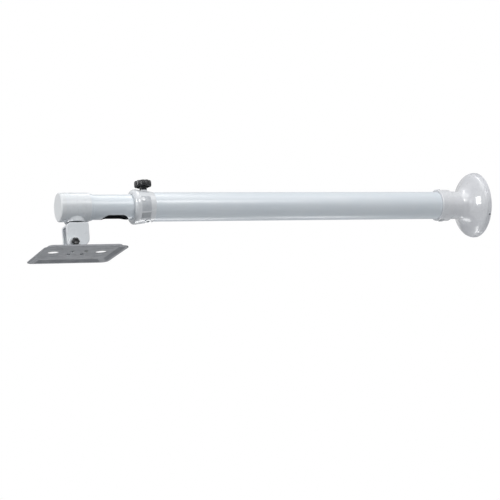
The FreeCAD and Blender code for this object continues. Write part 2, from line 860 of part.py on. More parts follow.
def make_yoke():
    half = yoke_width / 2
    front = pan_x - half
    rear = pan_x + half
    front_flank = (front, yoke_bottom_z + cheek_front_corner)
    rear_sole = (rear - cheek_rear_corner, yoke_bottom_z)
    rear_flank = (rear, yoke_top_z - yoke_rear_shoulder)
    front_top = (front + yoke_front_shoulder, yoke_top_z)
    steps = [
        quarter(front_flank, (front + cheek_front_corner, yoke_bottom_z), False),
        [rear_sole],
        quarter(rear_sole, (rear, yoke_bottom_z + cheek_rear_corner), True),
        [rear_flank],
        quarter(rear_flank, (rear - yoke_rear_shoulder, yoke_top_z), False),
        [front_top],
        quarter(front_top, (front, yoke_top_z - yoke_front_shoulder), True),
    ]
    face = outline(front_flank, steps)
    face.translate(Vector(0, -cheek_face_y, 0))
    yoke = face.extrude(Vector(0, yoke_depth, 0))
    yoke = fillet_where(yoke, yoke_edge, lambda edge: abs(edge.BoundBox.YLength) < 0.01)
    gap_low = yoke_bottom_z - cut_margin
    gap_corner = Vector(front - cut_margin, -cheek_inner_y, gap_low)
    gap_height = bridge_bottom_z - gap_low
    gap = Part.makeBox(yoke_width + 2 * cut_margin, 2 * cheek_inner_y, gap_height, gap_corner)
    gap = fillet_where(gap, cheek_inner_y - pan_washer_radius - slip_fit, is_gap_root)
    yoke = yoke.cut(gap)
    pan_hole = pan_bolt_radius + running_fit
    yoke = yoke.cut(cylinder_z(pan_hole, bridge_bottom_z - cut_margin, yoke_top_z + cut_margin, pan_x))
    blind = -cheek_face_y + front_skin
    tilt_hole = tilt_bolt_radius + thread_fit
    return yoke.cut(cylinder_y(tilt_hole, blind, cheek_face_y + cut_margin, pan_x, pivot_z))


# The long edges at the top of the gap between the cheeks.
def is_gap_root(edge):
    box = edge.BoundBox
    return box.YLength < 0.01 and box.ZLength < 0.01 and abs(box.ZMin - bridge_bottom_z) < 0.01


def make_tilt_bolt():
    seat = cheek_face_y + tilt_washer_thickness
    tip = -cheek_face_y + front_skin + thread_fit
    bolt = hex_head(tilt_head_flats, seat, seat + tilt_head_height)
    bolt = bolt.fuse(cylinder_z(tilt_bolt_radius, tip, seat)).removeSplitter()
    return on_tilt_axis(bolt)


# Lays a piece made on the Z axis along the tilt axis, with +Z turned to +Y.
def on_tilt_axis(shape):
    shape.rotate(Vector(0, 0, 0), Vector(1, 0, 0), -90)
    shape.translate(Vector(pan_x, 0, pivot_z))
    return shape


def make_tilt_washer():
    outside = cheek_face_y + tilt_washer_thickness
    return on_tilt_axis(washer_z(tilt_washer_radius, tilt_bolt_radius + slip_fit, cheek_face_y, outside))


def make_tilt_discs():
    inside = cheek_inner_y - tilt_disc_thickness
    disc = washer_z(tilt_disc_radius, tilt_bolt_radius + running_fit, inside, cheek_inner_y)
    far = washer_z(tilt_disc_radius, tilt_bolt_radius + running_fit, -cheek_inner_y, -inside)
    return [on_tilt_axis(disc), on_tilt_axis(far)]


# Foot

# A plate that stands on the foot's base: a round head on two curved flanks.
def standing_plate(x, top_radius, centre_z, base_half, y0, y1):
    low = foot_bottom_z + foot_base_thickness / 2
    steps = [
        [(x - base_half, foot_top_z)],
        quarter((x - base_half, foot_top_z), (x - top_radius, centre_z), True),
        quarter((x - top_radius, centre_z), (x, centre_z + top_radius), False),
        quarter((x, centre_z + top_radius), (x + top_radius, centre_z), True),
        quarter((x + top_radius, centre_z), (x + base_half, foot_top_z), False),
        [(x + base_half, low)],
    ]
    face = outline((x - base_half, low), steps)
    face.translate(Vector(0, y0, 0))
    return face.extrude(Vector(0, y1 - y0, 0))


def make_foot():
    top_edge = (foot_radius - foot_edge, foot_top_z)
    steps = [
        [(foot_radius, foot_bottom_z)],
        [(foot_radius, foot_top_z - foot_edge)],
        quarter((foot_radius, foot_top_z - foot_edge), top_edge, False),
        [(0, foot_top_z)],
    ]
    base = turned_on_z((0, foot_bottom_z), steps)
    base.translate(Vector(pan_x, 0, 0))
    tongue_half = cheek_inner_y - tilt_disc_thickness
    tongue = standing_plate(pan_x, tongue_radius, pivot_z, tongue_base_half, -tongue_half, tongue_half)
    lug_y = -cheek_face_y - lug_gap
    lug_front_y = lug_y - lug_thickness
    lug = standing_plate(lock_x, lug_radius, lock_z, lug_base_half, lug_front_y, lug_y)
    lug = fillet_where(lug, lug_edge, is_lug_front)
    foot = base.fuse(tongue).fuse(lug).removeSplitter()
    reach = tongue_half + cut_margin
    foot = foot.cut(cylinder_y(tilt_bolt_radius + running_fit, -reach, reach, pan_x, pivot_z))
    inside = lug_y + cut_margin
    outside = lug_front_y - cut_margin
    foot = foot.cut(cylinder_y(lock_stud_radius + thread_fit, outside, inside, lock_x, lock_z))
    foot = foot.cut(cylinder_y(lock_pad_radius + slip_fit, lug_y - lock_pad_pocket, inside, lock_x, lock_z))
    low = foot_bottom_z - cut_margin
    hole_top = foot_bottom_z + plate_screw_bite
    for x, y in plate_screw_places():
        foot = foot.cut(cylinder_z(plate_screw_radius + thread_fit, low, hole_top, x, y))
    return foot


# The lug's front outline, without its straight foot.
def is_lug_front(edge):
    box = edge.BoundBox
    front = -cheek_face_y - lug_gap - lug_thickness
    return abs(box.YMax - front) < 0.01 and box.ZMax > foot_top_z + 0.01


def plate_screw_places():
    places = []
    for index in range(plate_screw_count):
        angle = math.radians(45 + 360.0 * index / plate_screw_count)
        radius = plate_screw_circle / 2
        places.append((pan_x + radius * math.cos(angle), radius * math.sin(angle)))
    return places


# Lays a piece made on the Z axis along the lock screw, with +Z turned to the viewer.
def on_lock_axis(shape):
    shape.rotate(Vector(0, 0, 0), Vector(1, 0, 0), 90)
    shape.translate(Vector(lock_x, 0, lock_z))
    return shape


def lock_pad_end():
    return cheek_face_y + lock_pad_length


def make_lock_pad():
    return on_lock_axis(cylinder_z(lock_pad_radius, cheek_face_y, lock_pad_end()))


def lock_knob_seat():
    return cheek_face_y + lug_gap + lug_thickness + lock_knob_gap


def make_lock_stud():
    return on_lock_axis(cylinder_z(lock_stud_radius, lock_pad_end(), lock_knob_seat() + lock_stud_grip))


def make_lock_knob():
    knob = lobed_knob(
        lock_knob_radius,
        lock_knob_height,
        lock_hub_radius,
        lock_hub_height,
        lock_knob_lobes,
        lock_stud_radius,
        lock_stud_grip,
    )
    knob.translate(Vector(0, 0, lock_knob_seat()))
    return on_lock_axis(knob)


# Adapter plate

def tray_loft(inset, z_top, z_low):
    high = rounded_rectangle(plate_length - 2 * inset, plate_width - 2 * inset, plate_corner, z_top, pan_x)
    spread = 2 * plate_slope - 2 * inset
    low = rounded_rectangle(plate_length + spread, plate_width + spread, plate_corner, z_low, pan_x)
    return Part.makeLoft([high, low], True, True)


def make_adapter_plate():
    shell = tray_loft(0, foot_bottom_z, plate_bottom_z)
    hollow = tray_loft(plate_wall, plate_under_z, plate_bottom_z)
    spread = 2 * (plate_slope + plate_flange)
    rim_corner = plate_corner + plate_flange
    rim = rounded_rectangle(plate_length + spread, plate_width + spread, rim_corner, plate_bottom_z, pan_x)
    flange = Part.Face(rim).extrude(Vector(0, 0, plate_thickness))
    plate = shell.fuse(flange).cut(hollow)
    low = plate_bottom_z - cut_margin
    top = foot_bottom_z + cut_margin
    for sx in (-1, 1):
        for sy in (-1, 1):
            x = pan_x + sx * projector_slot_spacing_x / 2
            y = sy * projector_slot_spacing_y / 2
            plate = plate.cut(slot_bar(projector_slot_length, projector_slot_width, low, top, x, y))
        x = pan_x + sx * lightening_hole_offset
        plate = plate.cut(cylinder_z(lightening_hole_radius, low, top, x))
    for x, y in plate_screw_places():
        plate = plate.cut(cylinder_z(plate_screw_radius + slip_fit, low, top, x, y))
    return plate.removeSplitter()


def make_plate_screws():
    screws = []
    tip = foot_bottom_z + plate_screw_bite - thread_fit
    for x, y in plate_screw_places():
        length = tip - plate_under_z
        screw = cap_screw(plate_screw_radius, plate_screw_head_radius, plate_screw_head_height, -length, 0)
        screw.rotate(Vector(0, 0, 0), Vector(1, 0, 0), 180)
        screw.translate(Vector(x, y, plate_under_z))
        screws.append(screw)
    return screws


nodes = {
    "wall_plate": make_wall_plate(),
    "bell_flange": make_bell_flange(),
    "rim_screws": make_rim_screws(),
    "tube_screws": make_tube_screws(),
    "outer_tube": make_outer_tube(),
    "clamp_collar": make_clamp_collar(),
    "collar_bush": make_collar_bush(),
    "collar_screws": make_collar_screws(),
    "collar_plug": make_collar_plug(),
    "thread_insert": make_thread_insert(),
    "pressure_pad": make_pressure_pad(),
    "clamp_stud": make_clamp_stud(),
    "clamp_knob": make_clamp_knob(),
    "inner_tube": make_inner_tube(),
    "slot_grommet": make_slot_grommet(),
    "glide_ring": make_glide_ring(),
    "stop_ring": make_stop_ring(),
    "head_sleeve": make_head_sleeve(),
    "end_cap": make_end_cap(),
    "roll_screws": make_roll_screws(),
    "pan_bolt": make_pan_bolt(),
    "pan_head_washer": make_pan_washer(),
    "friction_washer": make_friction_washer(),
    "pan_under_washer": make_under_washer(),
    "pan_nut": make_pan_nut(),
    "yoke": make_yoke(),
    "tilt_bolt": make_tilt_bolt(),
    "tilt_washer": make_tilt_washer(),
    "tilt_discs": make_tilt_discs(),
    "foot": make_foot(),
    "lock_pad": make_lock_pad(),
    "lock_stud": make_lock_stud(),
    "lock_knob": make_lock_knob(),
    "adapter_plate": make_adapter_plate(),
    "plate_screws": make_plate_screws(),
}

os.makedirs("parts", exist_ok=True)
for node, made in nodes.items():
    shape = Part.makeCompound(made) if isinstance(made, list) else made
    shape.exportStep("parts/" + node + ".step")
    print(node, "solids", len(shape.Solids), "valid", shape.isValid(), "cm3", round(shape.Volume / 1000, 2))
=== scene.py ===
import bpy
import bmesh
import json
import math
from mathutils import Matrix, Vector


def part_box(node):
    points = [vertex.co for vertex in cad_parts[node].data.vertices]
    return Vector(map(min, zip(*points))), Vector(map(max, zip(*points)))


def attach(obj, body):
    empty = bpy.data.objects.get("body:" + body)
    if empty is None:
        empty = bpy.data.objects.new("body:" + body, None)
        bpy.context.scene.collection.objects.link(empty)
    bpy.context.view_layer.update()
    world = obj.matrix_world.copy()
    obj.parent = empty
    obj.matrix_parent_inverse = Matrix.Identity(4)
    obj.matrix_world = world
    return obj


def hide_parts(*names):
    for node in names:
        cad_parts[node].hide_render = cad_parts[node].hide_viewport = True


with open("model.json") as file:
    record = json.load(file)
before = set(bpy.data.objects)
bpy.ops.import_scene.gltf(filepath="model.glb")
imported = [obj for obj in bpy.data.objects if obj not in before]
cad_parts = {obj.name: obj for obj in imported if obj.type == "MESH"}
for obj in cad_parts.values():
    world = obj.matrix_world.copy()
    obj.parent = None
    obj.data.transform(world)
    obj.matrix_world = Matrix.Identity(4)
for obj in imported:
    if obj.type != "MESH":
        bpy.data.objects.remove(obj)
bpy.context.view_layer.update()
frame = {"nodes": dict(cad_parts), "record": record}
nodes = frame["nodes"]
bodyOf = {node: body for body, members in frame["record"]["behaviour"]["bodies"].items() for node in members}
slotOf = {part["node"]: part["material_slot"] for part in frame["record"]["subparts"]}
print("frame loaded", len(nodes), "nodes")

# All lengths are metres. The wall face is X = 0, the arm reaches along -X and the viewer stands at -Y.
mm = 0.001


# Materials

def linear(hexColour):
    channels = [int(hexColour[i:i + 2], 16) / 255 for i in (0, 2, 4)]
    return [c / 12.92 if c <= 0.04045 else ((c + 0.055) / 1.055) ** 2.4 for c in channels] + [1.0]


# Adds one shader node; an input is a value or the socket that feeds it.
def addNode(tree, kind, inputs, **settings):
    node = tree.nodes.new("ShaderNode" + kind)
    for name, value in settings.items():
        setattr(node, name, value)
    for socket, value in inputs.items():
        if isinstance(value, bpy.types.NodeSocket):
            tree.links.new(value, node.inputs[socket])
        else:
            node.inputs[socket].default_value = value
    return node


# The Mix node's factor and colours are its inputs 0, 6 and 7, and its colour comes out at 2.
def mixColours(tree, share, first, second):
    return addNode(tree, "Mix", {0: share, 6: first, 7: second}, data_type="RGBA").outputs[2]


# Starts a material: returns it with its tree, its Principled shader and the piece's own coordinates.
def startMaterial(name, **sockets):
    material = bpy.data.materials.new(name)
    material.use_nodes = True
    tree = material.node_tree
    shader = tree.nodes["Principled BSDF"]
    for socket, value in sockets.items():
        shader.inputs[socket.replace("_", " ")].default_value = value
    place = addNode(tree, "TexCoord", {}).outputs["Object"]
    return material, tree, shader, place


# Noise whose waves are about size across.
def waves(tree, place, size, detail):
    return addNode(tree, "TexNoise", {"Vector": place, "Scale": 1 / size, "Detail": detail}).outputs["Fac"]


# The same noise pushed into soft patches that lie between two levels.
def patches(tree, place, size, detail, low=0.0, high=1.0):
    band = {"Value": waves(tree, place, size, detail), "From Min": 0.25, "From Max": 0.75,
            "To Min": low, "To Max": high}
    return addNode(tree, "MapRange", band, interpolation_type="SMOOTHERSTEP").outputs[0]


def mottledColour(tree, shader, place, light, dark, size, detail=2.0):
    colour = mixColours(tree, patches(tree, place, size, detail), linear(light), linear(dark))
    tree.links.new(colour, shader.inputs["Base Color"])
    return colour


def mottledRoughness(tree, shader, place, low, high, size, detail=3.0):
    tree.links.new(patches(tree, place, size, detail, low, high), shader.inputs["Roughness"])


def waveBump(tree, shader, place, size, height, detail=2.0):
    relief = {"Height": waves(tree, place, size, detail), "Distance": height, "Strength": 1.0}
    tree.links.new(addNode(tree, "Bump", relief).outputs["Normal"], shader.inputs["Normal"])


# A material of noise alone. Colour and roughness are given by two ends and the size of their patches, the
# bumps by their size and height; a last number, where there is one, is the detail of the noise.
def makeSurface(name, colour, roughness, bump, **sockets):
    material, tree, shader, place = startMaterial(name, **sockets)
    mottledColour(tree, shader, place, *colour)
    mottledRoughness(tree, shader, place, *roughness)
    waveBump(tree, shader, place, *bump)
    return material


# Polyester powder coat: even cool white, with the orange peel that wobbles its highlights.
# Real peel is 1 to 2 mm across; it is drawn at 6 mm so that it shows. The flange and the collar are coated
# to a high gloss, which gives hard bright lamp spots, and the head is left satin.
def powderCoatedCasting(name, light, dark, coatWeight, coatRoughness):
    return makeSurface(
        name, (light, dark, 40 * mm), (0.26, 0.3, 20 * mm), (6 * mm, 0.015 * mm),
        IOR=1.5, Coat_Weight=coatWeight, Coat_Roughness=coatRoughness)


# The same coat on drawn steel tube, where it flows flatter. Inside, the tube is bare grey steel.
tubeCoat = {
    "outer_tube": {"name": "powder_coated_outer_tube", "wall": 2.5 * mm},
    "inner_tube": {"name": "powder_coated_inner_tube", "wall": 2 * mm},
    "boreMargin": 0.3 * mm,
    "boreColour": "a8abb0",
}


def powderCoatedTube(tubeName):
    coat = tubeCoat[tubeName]
    material, tree, shader, place = startMaterial(
        coat["name"], IOR=1.5, Coat_Weight=0.22, Coat_Roughness=0.22)
    outside = mottledColour(tree, shader, place, "dee4e9", "dbe2e8", 60 * mm)
    mottledRoughness(tree, shader, place, 0.28, 0.31, 30 * mm)
    waveBump(tree, shader, place, 8 * mm, 0.015 * mm)
    boreRadius = -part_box(tubeName)[0].z - coat["wall"] + tubeCoat["boreMargin"]
    flat = addNode(tree, "VectorMath", {0: place, 1: (0, 1, 1)}, operation="MULTIPLY")
    radius = addNode(tree, "VectorMath", {0: flat.outputs[0]}, operation="LENGTH")
    inside = addNode(tree, "Math", {0: radius.outputs["Value"], 1: boreRadius}, operation="LESS_THAN")
    colour = mixColours(tree, inside.outputs[0], outside, linear(tubeCoat["boreColour"]))
    tree.links.new(colour, shader.inputs["Base Color"])
    return material


# Moulded ABS, pigmented white: even, satin, with a very fine mould grain drawn at 1.5 mm.
def mouldedAbs(name, light, dark):
    return makeSurface(name, (light, dark, 40 * mm), (0.16, 0.22, 18 * mm), (1.5 * mm, 0.006 * mm), IOR=1.54)


# Bright zinc plate on turned and pressed steel: grey metal with faint patches and fine lay marks.
def zincPlatedSteel(name, light, dark):
    return makeSurface(
        name, (light, dark, 14 * mm, 4.0), (0.28, 0.46, 5 * mm), (0.8 * mm, 0.01 * mm, 4.0), Metallic=1.0)


# Satin silver-grey film, a shade darker and duller than the coat round it. Its darker colour stands partly
# for a printed label and partly for painted shade in the collar's panel recesses.
def filmWithPaintedShade(name, light, dark):
    return makeSurface(name, (light, dark, 8 * mm), (0.36, 0.44, 3 * mm), (1.0 * mm, 0.004 * mm), IOR=1.57)


finishes = {
    "white_casting": powderCoatedCasting("satin_coated_casting", "e2e5e8", "dfe3e6", 0.25, 0.18),
    "white_tube": powderCoatedTube("outer_tube"),
    "white_cap": mouldedAbs("moulded_abs", "e6e8ea", "e3e6e8"),
    "zinc_steel": zincPlatedSteel("zinc_plated_steel", "b9bdc2", "a9aba9"),
    # Natural nylon: milky ivory, slightly see-into, satin.
    "nylon": makeSurface(
        "natural_nylon", ("e2dfd2", "d8d4c6", 12 * mm), (0.4, 0.5, 6 * mm), (1.2 * mm, 0.01 * mm),
        IOR=1.53, Subsurface_Weight=0.15, Subsurface_Radius=(2 * mm, 1.8 * mm, 1.4 * mm)),
    # Turned free-cutting brass, slightly dulled.
    "brass": makeSurface(
        "turned_brass", ("c9a566", "b48f52", 8 * mm), (0.25, 0.4, 4 * mm), (0.7 * mm, 0.01 * mm),
        Metallic=1.0),
    # Black glass-filled nylon from a spark-eroded mould: deep grey-black, its fine grain drawn at 1.2 mm.
    "black_knob": makeSurface(
        "moulded_black_nylon", ("1b1c1f", "131416", 9 * mm), (0.2, 0.3, 5 * mm), (1.2 * mm, 0.02 * mm),
        IOR=1.53),
    # Extruded black rubber edging: dull, with a dusty bloom.
    "black_rubber": makeSurface(
        "black_rubber", ("232427", "1a1b1d", 10 * mm), (0.7, 0.85, 6 * mm), (1.5 * mm, 0.03 * mm),
        IOR=1.5),
    # Black acetal, machined: waxy and even.
    "black_friction": makeSurface(
        "black_acetal", ("1b1c1e", "161719", 8 * mm), (0.42, 0.52, 4 * mm), (0.8 * mm, 0.01 * mm),
        IOR=1.48),
    # Satin grey powder coat on pressed sheet steel; its fine sand texture is drawn at 2.5 mm.
    "grey_plate": makeSurface(
        "grey_textured_coat", ("8c8e92", "828488", 30 * mm), (0.48, 0.6, 8 * mm), (2.5 * mm, 0.06 * mm, 4.0),
        IOR=1.5),
}

# Pieces whose finish differs from the rest of their slot
innerTubeCoat = powderCoatedTube("inner_tube")
oiledSteel = zincPlatedSteel("oiled_dark_zinc_steel", "8b8e90", "7a7c7c")
ownFinishes = {
    "inner_tube": innerTubeCoat,
    "stop_ring": innerTubeCoat,
    "bell_flange": powderCoatedCasting("gloss_coated_flange", "e0e1e4", "dcdde1", 0.9, 0.05),
    "clamp_collar": powderCoatedCasting("gloss_coated_collar", "e0e2e5", "dcdfe2", 0.9, 0.07),
    "collar_screws": oiledSteel,
    "tube_screws": oiledSteel,
    "rim_screws": oiledSteel,
    "collar_plug": mouldedAbs("moulded_abs_plug", "f3f4f6", "eff1f3"),
}
for name, node in nodes.items():
    node.data.materials.clear()
    node.data.materials.append(ownFinishes.get(name, finishes[slotOf[name]]))
print("materials made")


# Modelling helpers

endNormal = 0.9  # a face is an end face when its normal reaches this far along Z


def deselectAll():
    if bpy.context.mode != "OBJECT":
        bpy.ops.object.mode_set(mode="OBJECT")
    bpy.ops.object.select_all(action="DESELECT")


def activate(piece):
    deselectAll()
    piece.select_set(True)
    bpy.context.view_layer.objects.active = piece


# Enters edit mode with nothing selected.
def startEditing(piece, mode="FACE"):
    activate(piece)
    bpy.ops.object.mode_set(mode="EDIT")
    bpy.ops.mesh.select_mode(type=mode)
    bpy.ops.mesh.select_all(action="DESELECT")


# Selects the faces that the rule picks and leaves the rest.
def pickFaces(piece, rule):
    mesh = bmesh.from_edit_mesh(piece.data)
    bpy.ops.mesh.select_all(action="DESELECT")
    for face in mesh.faces:
        face.select_set(rule(face))
    bmesh.update_edit_mesh(piece.data)


def pickVertices(piece, rule):
    mesh = bmesh.from_edit_mesh(piece.data)
    bpy.ops.mesh.select_all(action="DESELECT")
    for vertex in mesh.verts:
        vertex.select_set(rule(vertex.co))
    mesh.select_flush_mode()
    bmesh.update_edit_mesh(piece.data)


# Carries the selected end face along Z through a row of rings, each a radius and a height. The face itself is
# the first of them, and middle is a point on the axis.
def pullThrough(rings, middle=(0, 0, 0)):
    here, height = rings[0]
    for radius, level in rings[1:]:
        share = radius / here
        bpy.ops.mesh.extrude_region_move(TRANSFORM_OT_translate={"value": (0, 0, level - height)})
        bpy.ops.transform.resize(value=(share, share, 1), center_override=middle)
        here, height = radius, level


# The rings of a quarter circle that starts upright at a radius and a height, and ends flat at height + rise.
def quarterRings(radius, height, rise, steps):
    angles = [math.radians(90 * step / steps) for step in range(steps + 1)]
    return [(radius - abs(rise) * (1 - math.cos(a)), height + rise * math.sin(a)) for a in angles]


def applyModifier(piece, kind, **settings):
    activate(piece)
    modifier = piece.modifiers.new(kind.lower(), kind)
    for name, value in settings.items():
        setattr(modifier, name, value)
    bpy.ops.object.modifier_apply(modifier=modifier.name)


def bevelEdges(piece, width, segments, angle, **settings):
    applyModifier(piece, "BEVEL", width=width, segments=segments, limit_method="ANGLE",
                  angle_limit=math.radians(angle), **settings)


# Sets a modelled piece in its place: the turn and the move go into its mesh.
def settle(piece, place, turn):
    activate(piece)
    piece.location = place
    piece.rotation_euler = turn
    bpy.ops.object.transform_apply(location=True, rotation=True, scale=True)
    bpy.ops.object.mode_set(mode="EDIT")
    bpy.ops.mesh.select_all(action="SELECT")
    bpy.ops.mesh.normals_make_consistent(inside=False)
    bpy.ops.object.mode_set(mode="OBJECT")


def finishPiece(piece, name, body, finish, smoothAngle=32):
    activate(piece)
    bpy.ops.object.shade_smooth_by_angle(angle=math.radians(smoothAngle))
    piece.name = name
    piece.data.name = name
    piece.data.materials.clear()
    piece.data.materials.append(finish)
    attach(piece, body)


# Finishes a piece that takes the place of a CAD node, with that node's body and the finish of its slot.
def replaceNode(piece, nodeName, ending, smoothAngle=32):
    slot = slotOf[nodeName]
    finishPiece(piece, nodeName + ending, bodyOf[nodeName], finishes[slot], smoothAngle)
    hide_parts(nodeName)


# A copy of a CAD node as one closed mesh of flat faces, ready for edit mode.
def mergedCopy(nodeName):
    piece = bpy.data.objects.new(nodeName + "_dressed", nodes[nodeName].data.copy())
    bpy.context.scene.collection.objects.link(piece)
    startEditing(piece, "VERT")
    bpy.ops.mesh.select_all(action="SELECT")
    bpy.ops.mesh.remove_doubles(threshold=0.002 * mm)
    bpy.ops.mesh.dissolve_limited(angle_limit=math.radians(0.4))
    bpy.ops.object.mode_set(mode="OBJECT")
    return piece


# Lobed knobs

# The clamp knob stands on the Z axis, the lock knob lies along Y towards the viewer.
knobs = {
    "clamp_knob": {
        "lobes": 10,
        "hubRadius": 10.0 * mm,
        "hubHeight": 9.5 * mm,
        "rimHeight": 16.5 * mm,
        "turn": (0, 0, 0),
    },
    "lock_knob": {
        "lobes": 6,
        "hubRadius": 5.5 * mm,
        "hubHeight": 2.5 * mm,
        "rimHeight": 10.0 * mm,
        "turn": (math.radians(90), 0, 0),
    },
}

# The form that both share. Crown, skirt and ceiling are shares of the rim's height; hollow, dish and scallop
# are shares of the knob's radius; each ring of the dish is a share of the dish's radius and a drop. The
# scallops take in all that lies further out than underRim times the hollow.
knobForm = {
    "steps": 120,
    "crown": 0.28,
    "crownSteps": 5,
    "skirt": 0.22,
    "skirtSteps": 4,
    "ceiling": 0.3,
    "hollow": 0.72,
    "dish": 0.5,
    "dishRings": ((1.08, 0), (1, 0.35 * mm), (0.96, 1.0 * mm), (0.3, 0.2 * mm)),
    "underRim": 1.01,
    "scallop": 0.27,
    "scallopSetOut": 0.55,
    "leastCut": 0.0001,
    "edge": 0.5 * mm,
    "edgeAngle": 34,
}


# How far out the rim stands at an angle from the middle of a scallop, as a share of the knob's radius.
def scallopShare(angle):
    scallop = knobForm["scallop"]
    reach = 1 + scallop * knobForm["scallopSetOut"]
    inside = scallop ** 2 - (reach * math.sin(angle)) ** 2
    if inside <= 0:
        return 1.0
    return min(1.0, reach * math.cos(angle) - math.sqrt(inside))


# Draws the rim in between the lobes, one angle of all the lobes at a time.
def cutScallops(piece, lobes, innerRadius):
    period = 2 * math.pi / lobes
    stepAngle = 2 * math.pi / knobForm["steps"]
    bpy.ops.mesh.select_mode(type="VERT")
    for step in range(knobForm["steps"] // lobes):
        lobeAngle = step * stepAngle
        share = scallopShare(lobeAngle - period / 2)
        if share > 1 - knobForm["leastCut"]:
            continue

        def isOnStep(point):
            offset = abs(math.atan2(point.y, point.x) % period - lobeAngle)
            isNear = min(offset, period - offset) < stepAngle / 3
            return isNear and math.hypot(point.x, point.y) > innerRadius

        pickVertices(piece, isOnStep)
        bpy.ops.transform.resize(value=(share, share, 1), center_override=(0, 0, 0))


def modelKnob(name):
    knob = knobs[name]
    low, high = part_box(name)
    radius = (high.x - low.x) / 2
    hub = knob["hubHeight"]
    rim = knob["rimHeight"]
    crown = rim * knobForm["crown"]
    skirt = rim * knobForm["skirt"]
    hollow = radius * knobForm["hollow"]
    sideLow = hub + skirt
    sideHigh = hub + rim - crown
    deselectAll()
    bpy.ops.mesh.primitive_cylinder_add(
        vertices=knobForm["steps"], radius=radius, depth=sideHigh - sideLow,
        location=(0, 0, (sideLow + sideHigh) / 2), end_fill_type="NGON")
    piece = bpy.context.object
    bpy.ops.object.transform_apply(location=True, rotation=True, scale=True)
    startEditing(piece)

    # The crown, then a ring step and a shallow dish in the top
    rings = quarterRings(radius, sideHigh, crown, knobForm["crownSteps"])
    level = hub + rim
    for share, drop in knobForm["dishRings"]:
        level -= drop
        rings.append((radius * knobForm["dish"] * share, level))
    pickFaces(piece, lambda face: face.normal.z > endNormal)
    pullThrough(rings)

    # The skirt, the hollow under the rim and the hub
    ceiling = hub + rim * knobForm["ceiling"]
    hubRadius = knob["hubRadius"]
    rings = quarterRings(radius, sideLow, -skirt, knobForm["skirtSteps"])
    rings += [(hollow, hub), (hollow, ceiling), (hubRadius, ceiling), (hubRadius, 0)]
    pickFaces(piece, lambda face: face.normal.z < -endNormal)
    pullThrough(rings)

    cutScallops(piece, knob["lobes"], hollow * knobForm["underRim"])
    bpy.ops.object.mode_set(mode="OBJECT")
    bevelEdges(piece, knobForm["edge"], 2, knobForm["edgeAngle"])
    middle = (low + high) / 2
    foot = (middle.x, 0, low.z) if name == "clamp_knob" else (middle.x, high.y, middle.z)
    settle(piece, foot, knob["turn"])
    replaceNode(piece, name, "_moulded")


for name in knobs:
    modelKnob(name)
print("knobs modelled")


# Fields on the collar's two panels: a darker satin film. On the upper panel it stands for the printed label
# and also paints in the shade of its recess. On the lower panel, under the collar, it is painted shade only.

# The panels' floors are parts of one cone. Top, bottom and plugAngle are degrees above the level.
collarFields = {
    "panelFront": -1069.5 * mm,
    "panelRear": -1040.5 * mm,
    "floorFront": 46.87 * mm,
    "floorRear": 43.0 * mm,
    "margin": 0.6 * mm,
    "lift": 0.03 * mm,
    "thickness": 0.2 * mm,
    "steps": 360,
    "edge": 0.05 * mm,
    "edgeAngle": 60,
    # The upper field is a printed label with painted shade; the lower field's darker colour is painted shade.
    "upper": {"top": 28.2, "bottom": -28.2, "light": "c4c7cb", "dark": "bdc1c6"},
    "lower": {"top": -32.8, "bottom": -55.2, "light": "b0b3b6", "dark": "a9acb0"},
    "plugX": -1063.85 * mm,
    "plugAngle": 13.0,
    "plugHoleRadius": 5.8 * mm,
    "cutterSteps": 64,
    "cutterLength": 20 * mm,
}


def panelRadius(x):
    fields = collarFields
    share = (x - fields["panelFront"]) / (fields["panelRear"] - fields["panelFront"])
    return fields["floorFront"] + share * (fields["floorRear"] - fields["floorFront"]) + fields["lift"]


def cutPlugHole(piece):
    angle = math.radians(collarFields["plugAngle"])
    outwards = Vector((0, -math.cos(angle), math.sin(angle)))
    deselectAll()
    bpy.ops.mesh.primitive_cylinder_add(
        vertices=collarFields["cutterSteps"], radius=collarFields["plugHoleRadius"],
        depth=collarFields["cutterLength"])
    cutter = bpy.context.object
    middle = Vector((collarFields["plugX"], 0, 0)) + outwards * collarFields["floorFront"]
    settle(cutter, middle, outwards.to_track_quat("Z", "Y").to_euler())
    applyModifier(piece, "BOOLEAN", operation="DIFFERENCE", object=cutter, solver="EXACT")
    bpy.data.objects.remove(cutter)


def modelCollarField(panel):
    field = collarFields[panel]
    front = collarFields["panelFront"] + collarFields["margin"]
    rear = collarFields["panelRear"] - collarFields["margin"]
    deselectAll()
    # The cone stands on Z first; after the turn its lower end is the rear one.
    bpy.ops.mesh.primitive_cone_add(
        vertices=collarFields["steps"], radius1=panelRadius(rear), radius2=panelRadius(front),
        depth=rear - front, end_fill_type="NOTHING")
    piece = bpy.context.object
    settle(piece, ((front + rear) / 2, 0, 0), (0, math.radians(-90), 0))

    def isOutside(face):
        middle = face.calc_center_median()
        degrees = math.degrees(math.atan2(middle.z, -middle.y))
        return not field["bottom"] < degrees < field["top"]

    startEditing(piece)
    pickFaces(piece, isOutside)
    bpy.ops.mesh.delete(type="FACE")
    bpy.ops.object.mode_set(mode="OBJECT")
    applyModifier(piece, "SOLIDIFY", thickness=collarFields["thickness"], offset=1.0, use_even_offset=True)
    if panel == "upper":
        cutPlugHole(piece)
    bevelEdges(piece, collarFields["edge"], 2, collarFields["edgeAngle"])
    # This film's colour is painted shade, with a printed label on the upper panel.
    film = filmWithPaintedShade("satin_film_" + panel, field["light"], field["dark"])
    finishPiece(piece, "collar_field_" + panel, "arm", film)


for panel in ("upper", "lower"):
    modelCollarField(panel)
print("collar fields modelled")


# Plates, tilt bolt and nut get the small broken edges that the solids leave sharp

softEdges = {
    "adapter_plate": {"width": 0.5 * mm, "segments": 3, "angle": 40},
    "wall_plate": {"width": 0.6 * mm, "segments": 2, "angle": 40},
    "tilt_bolt": {"width": 0.25 * mm, "segments": 2, "angle": 20},
    "pan_nut": {"width": 0.25 * mm, "segments": 2, "angle": 20},
}

